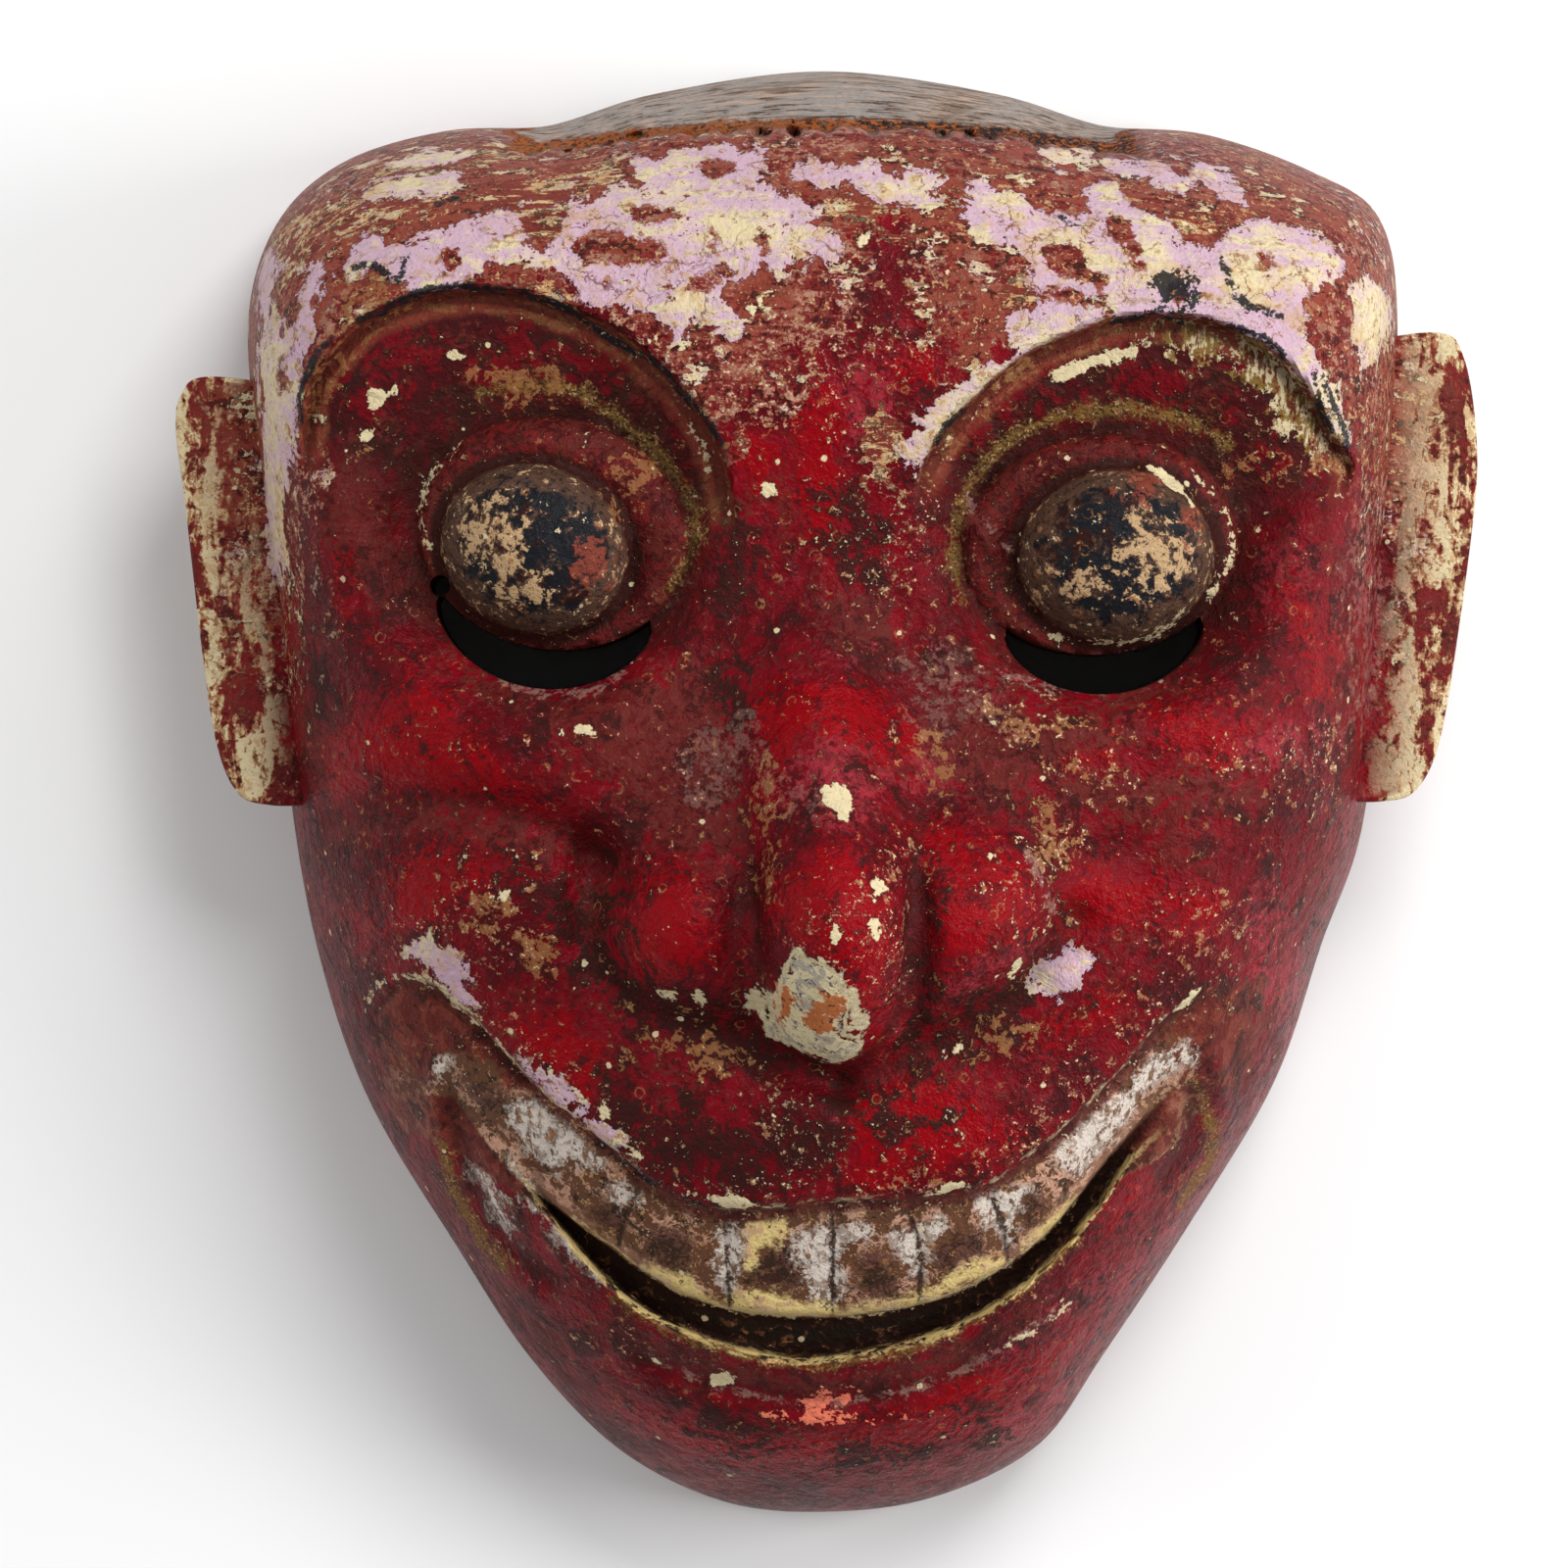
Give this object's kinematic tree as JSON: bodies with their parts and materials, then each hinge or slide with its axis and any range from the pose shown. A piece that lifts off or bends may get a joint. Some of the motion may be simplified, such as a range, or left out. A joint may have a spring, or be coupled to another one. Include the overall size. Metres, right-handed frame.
{
  "type": "healer mask",
  "caption": "Carved wooden healer mask with bulging eyes, broad toothed grin, side ears and a hollow back, painted red, lying face up on its back rim",
  "frame": {"origin": "centre of the bounding box in X and Y, at the flat back rim that the mask lies on", "axes": "+Z out of the face, +Y to the crown, +X to the right of someone facing the mask"},
  "size_m": [0.1777, 0.2007, 0.0884],
  "materials": {
    "painted_wood": "worn layered paint, satin to glossy, over light brown wood"
  },
  "bodies": {
    "root": {"mask": "painted_wood"}
  },
  "joints": []
}
